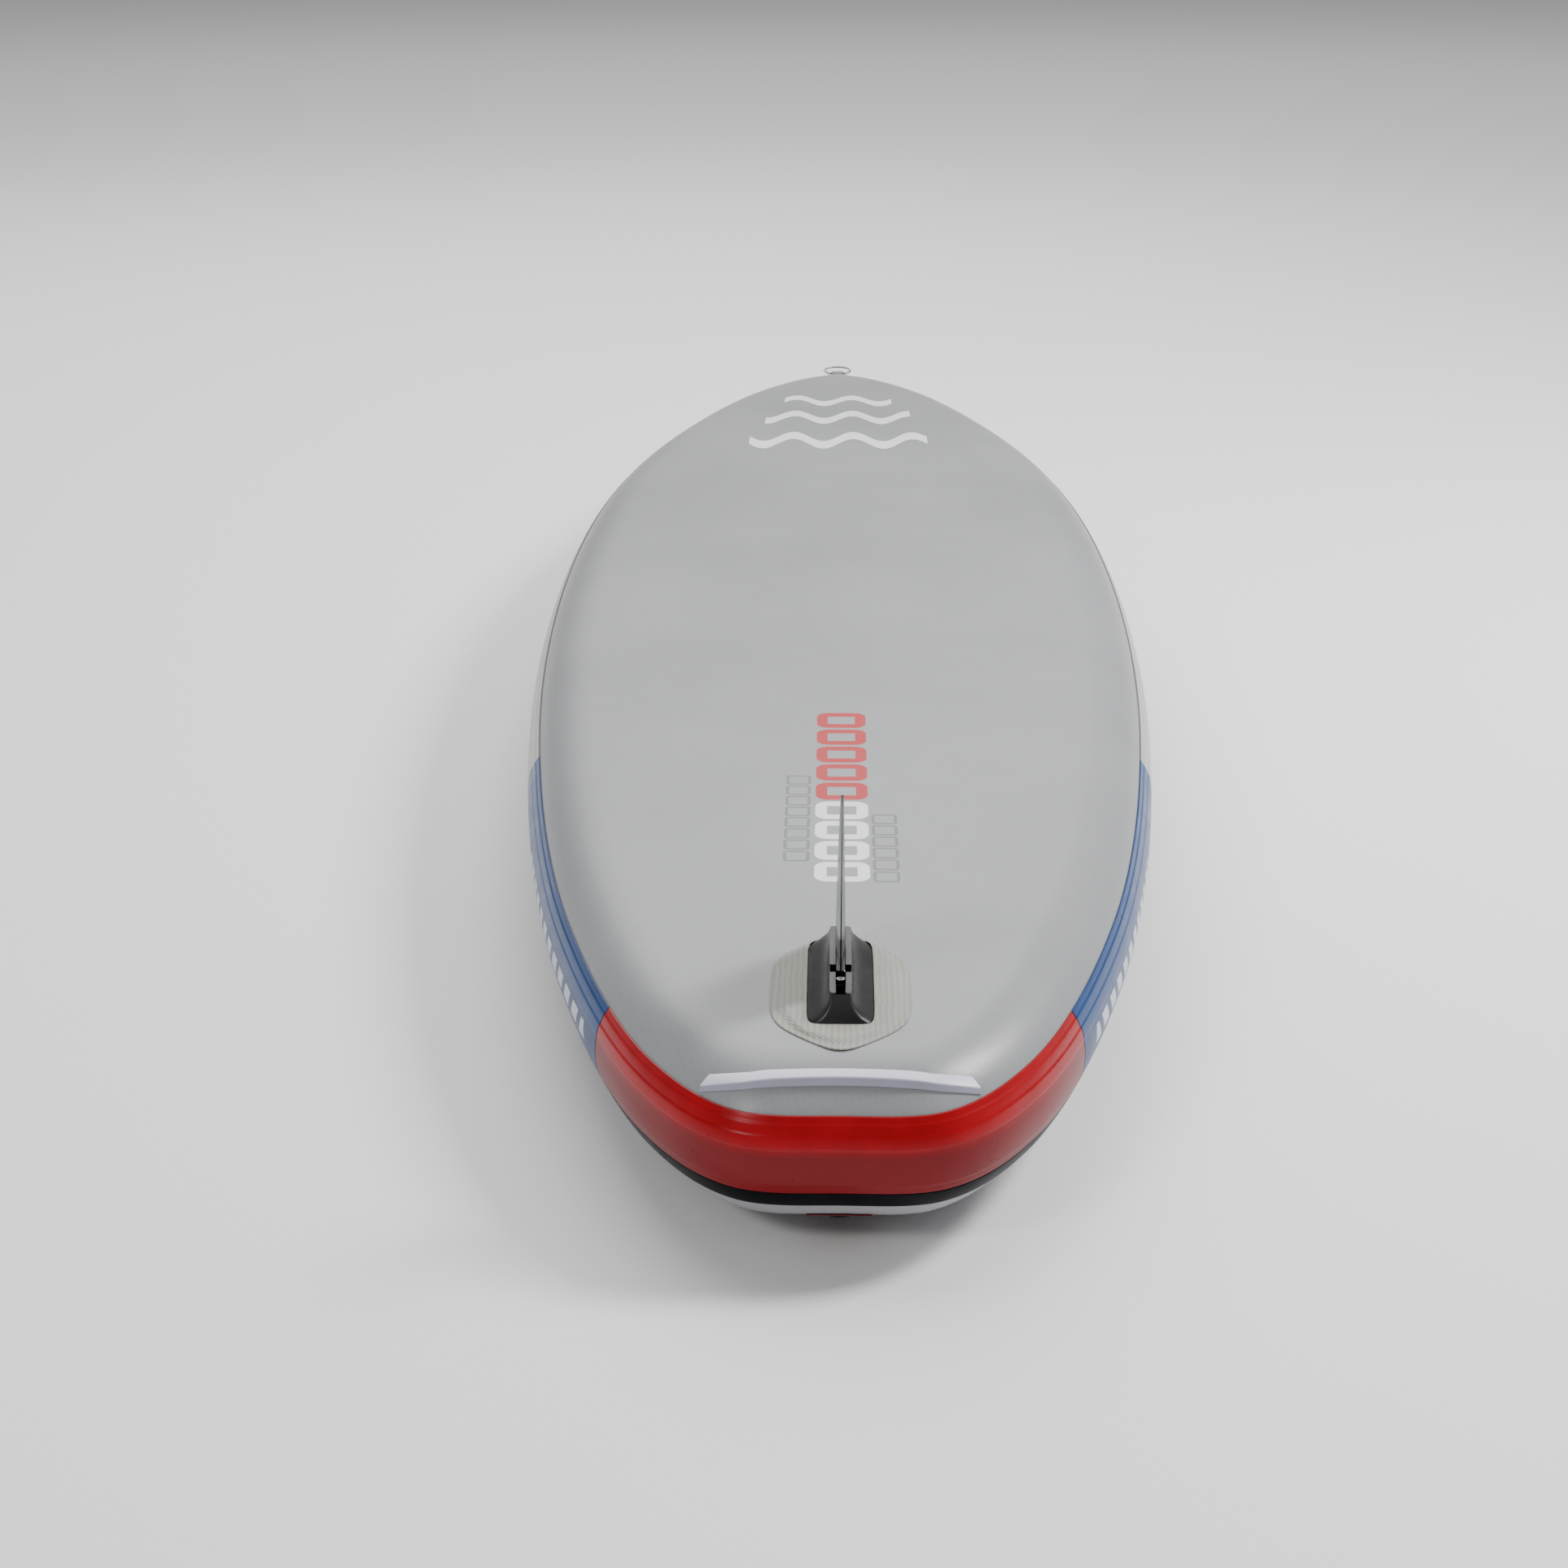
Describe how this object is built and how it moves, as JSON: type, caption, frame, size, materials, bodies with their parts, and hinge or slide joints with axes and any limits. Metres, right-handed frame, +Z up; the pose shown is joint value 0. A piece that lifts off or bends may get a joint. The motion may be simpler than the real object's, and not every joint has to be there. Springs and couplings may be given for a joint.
{
  "type": "stand up paddleboard",
  "caption": "Inflatable stand up paddleboard lying hull side up, with a removable centre fin, rail tape, deck pads, carry handle, air valve and tow rings.",
  "frame": {"origin": "centre of the bounding box, on the floor the board lies on", "axes": "+Y along the board towards the nose, +Z up (the hull faces up and the deck down, as the board is laid out to fit its fin), +X to the right seen from the tail"},
  "size_m": [0.76, 3.2058, 0.3799],
  "materials": {
    "hull_pvc": "satin coated woven fabric",
    "deck_pvc": "satin coated woven fabric",
    "wall_pvc": "coated fabric, matt",
    "yarn": "white polyester thread",
    "tape_red": "glossy coated tape",
    "tape_blue": "glossy coated tape",
    "tape_grey": "glossy coated tape",
    "stripe_black": "glossy coated tape",
    "edge_white": "satin moulded strip",
    "patch_grey": "satin coated fabric",
    "patch_red": "satin coated fabric",
    "box_plastic": "moulded, satin flanks",
    "fin_plastic": "moulded, glossy",
    "steel": "stainless, drawn",
    "webbing_black": "woven polyester",
    "webbing_grey": "woven polyester",
    "eva_blue": "closed-cell foam, grooved",
    "eva_navy": "closed-cell foam",
    "grip_black": "neoprene",
    "valve_plastic": "moulded, fine texture",
    "valve_blue": "moulded",
    "seal_rubber": "moulded, matt"
  },
  "bodies": {
    "board": {"hull_skin": "hull_pvc", "deck_skin": "deck_pvc", "rail_wall_left": "wall_pvc", "rail_wall_right": "wall_pvc", "drop_stitch_yarns": "yarn", "rail_tape_tail": "tape_red", "rail_tape_left_mid": "tape_blue", "rail_tape_right_mid": "tape_blue", "rail_tape_left_fore": "tape_grey", "rail_tape_right_fore": "tape_grey", "rail_stripe": "stripe_black", "release_edge": "edge_white", "fin_patch_base": "patch_grey", "fin_patch_top": "patch_grey", "fin_box": "box_plastic", "nose_patch": "patch_grey", "nose_webbing_loop": "webbing_grey", "tail_patch": "patch_red", "tail_webbing_loop": "webbing_black", "deck_pad_rear": "eva_blue", "deck_pad_front": "eva_blue", "deck_pad_left": "eva_blue", "deck_pad_right": "eva_blue", "kick_pad": "eva_navy", "handle_patch_rear": "deck_pvc", "handle_patch_front": "deck_pvc", "handle_strap": "webbing_black", "handle_grip": "grip_black", "valve_gasket": "seal_rubber", "valve_body": "valve_plastic", "valve_nut": "valve_plastic", "valve_spring": "steel", "valve_cap_tether": "valve_plastic"},
    "fin_unit": {"fin": "fin_plastic", "fin_cross_pin": "steel", "fin_nut_plate": "steel"},
    "fin_fastening": {"fin_screw": "steel"},
    "nose_ring_body": {"nose_ring": "steel"},
    "tail_ring_body": {"tail_ring": "steel"},
    "valve_cap_body": {"valve_cap": "valve_plastic"},
    "valve_core": {"valve_plunger": "valve_blue", "valve_seal": "seal_rubber"}
  },
  "joints": [
    {"name": "fin_slide", "type": "slide", "parent": "board", "child": "fin_unit", "axis": [0, 0.9993, 0.0379], "range_m": [-0.026, 0.0025]},
    {"name": "fin_screw_turn", "type": "hinge", "parent": "fin_unit", "child": "fin_fastening", "pos_m": [0, -1.45271, 0.19667], "axis": [0, -0.0379, 0.9993], "continuous": true},
    {"name": "nose_ring_swing", "type": "hinge", "parent": "board", "child": "nose_ring_body", "pos_m": [0, 1.55633, 0.14748], "axis": [1, 0, 0], "range_deg": [-48, 150]},
    {"name": "tail_ring_swing", "type": "hinge", "parent": "board", "child": "tail_ring_body", "pos_m": [0, -1.50642, 0.01651], "axis": [1, 0, 0], "range_deg": [-4, 170]},
    {"name": "valve_cap_turn", "type": "hinge", "parent": "board", "child": "valve_cap_body", "pos_m": [0, -1.4337, 0.02527], "axis": [0, 0.0379, -0.9993], "range_deg": [0, 90]},
    {"name": "valve_press", "type": "slide", "parent": "board", "child": "valve_core", "axis": [0, -0.0379, 0.9993], "range_m": [0, 0.004], "stiffness_N_per_m": 900, "springref_m": -0.003, "deforming": ["valve_spring"]}
  ]
}
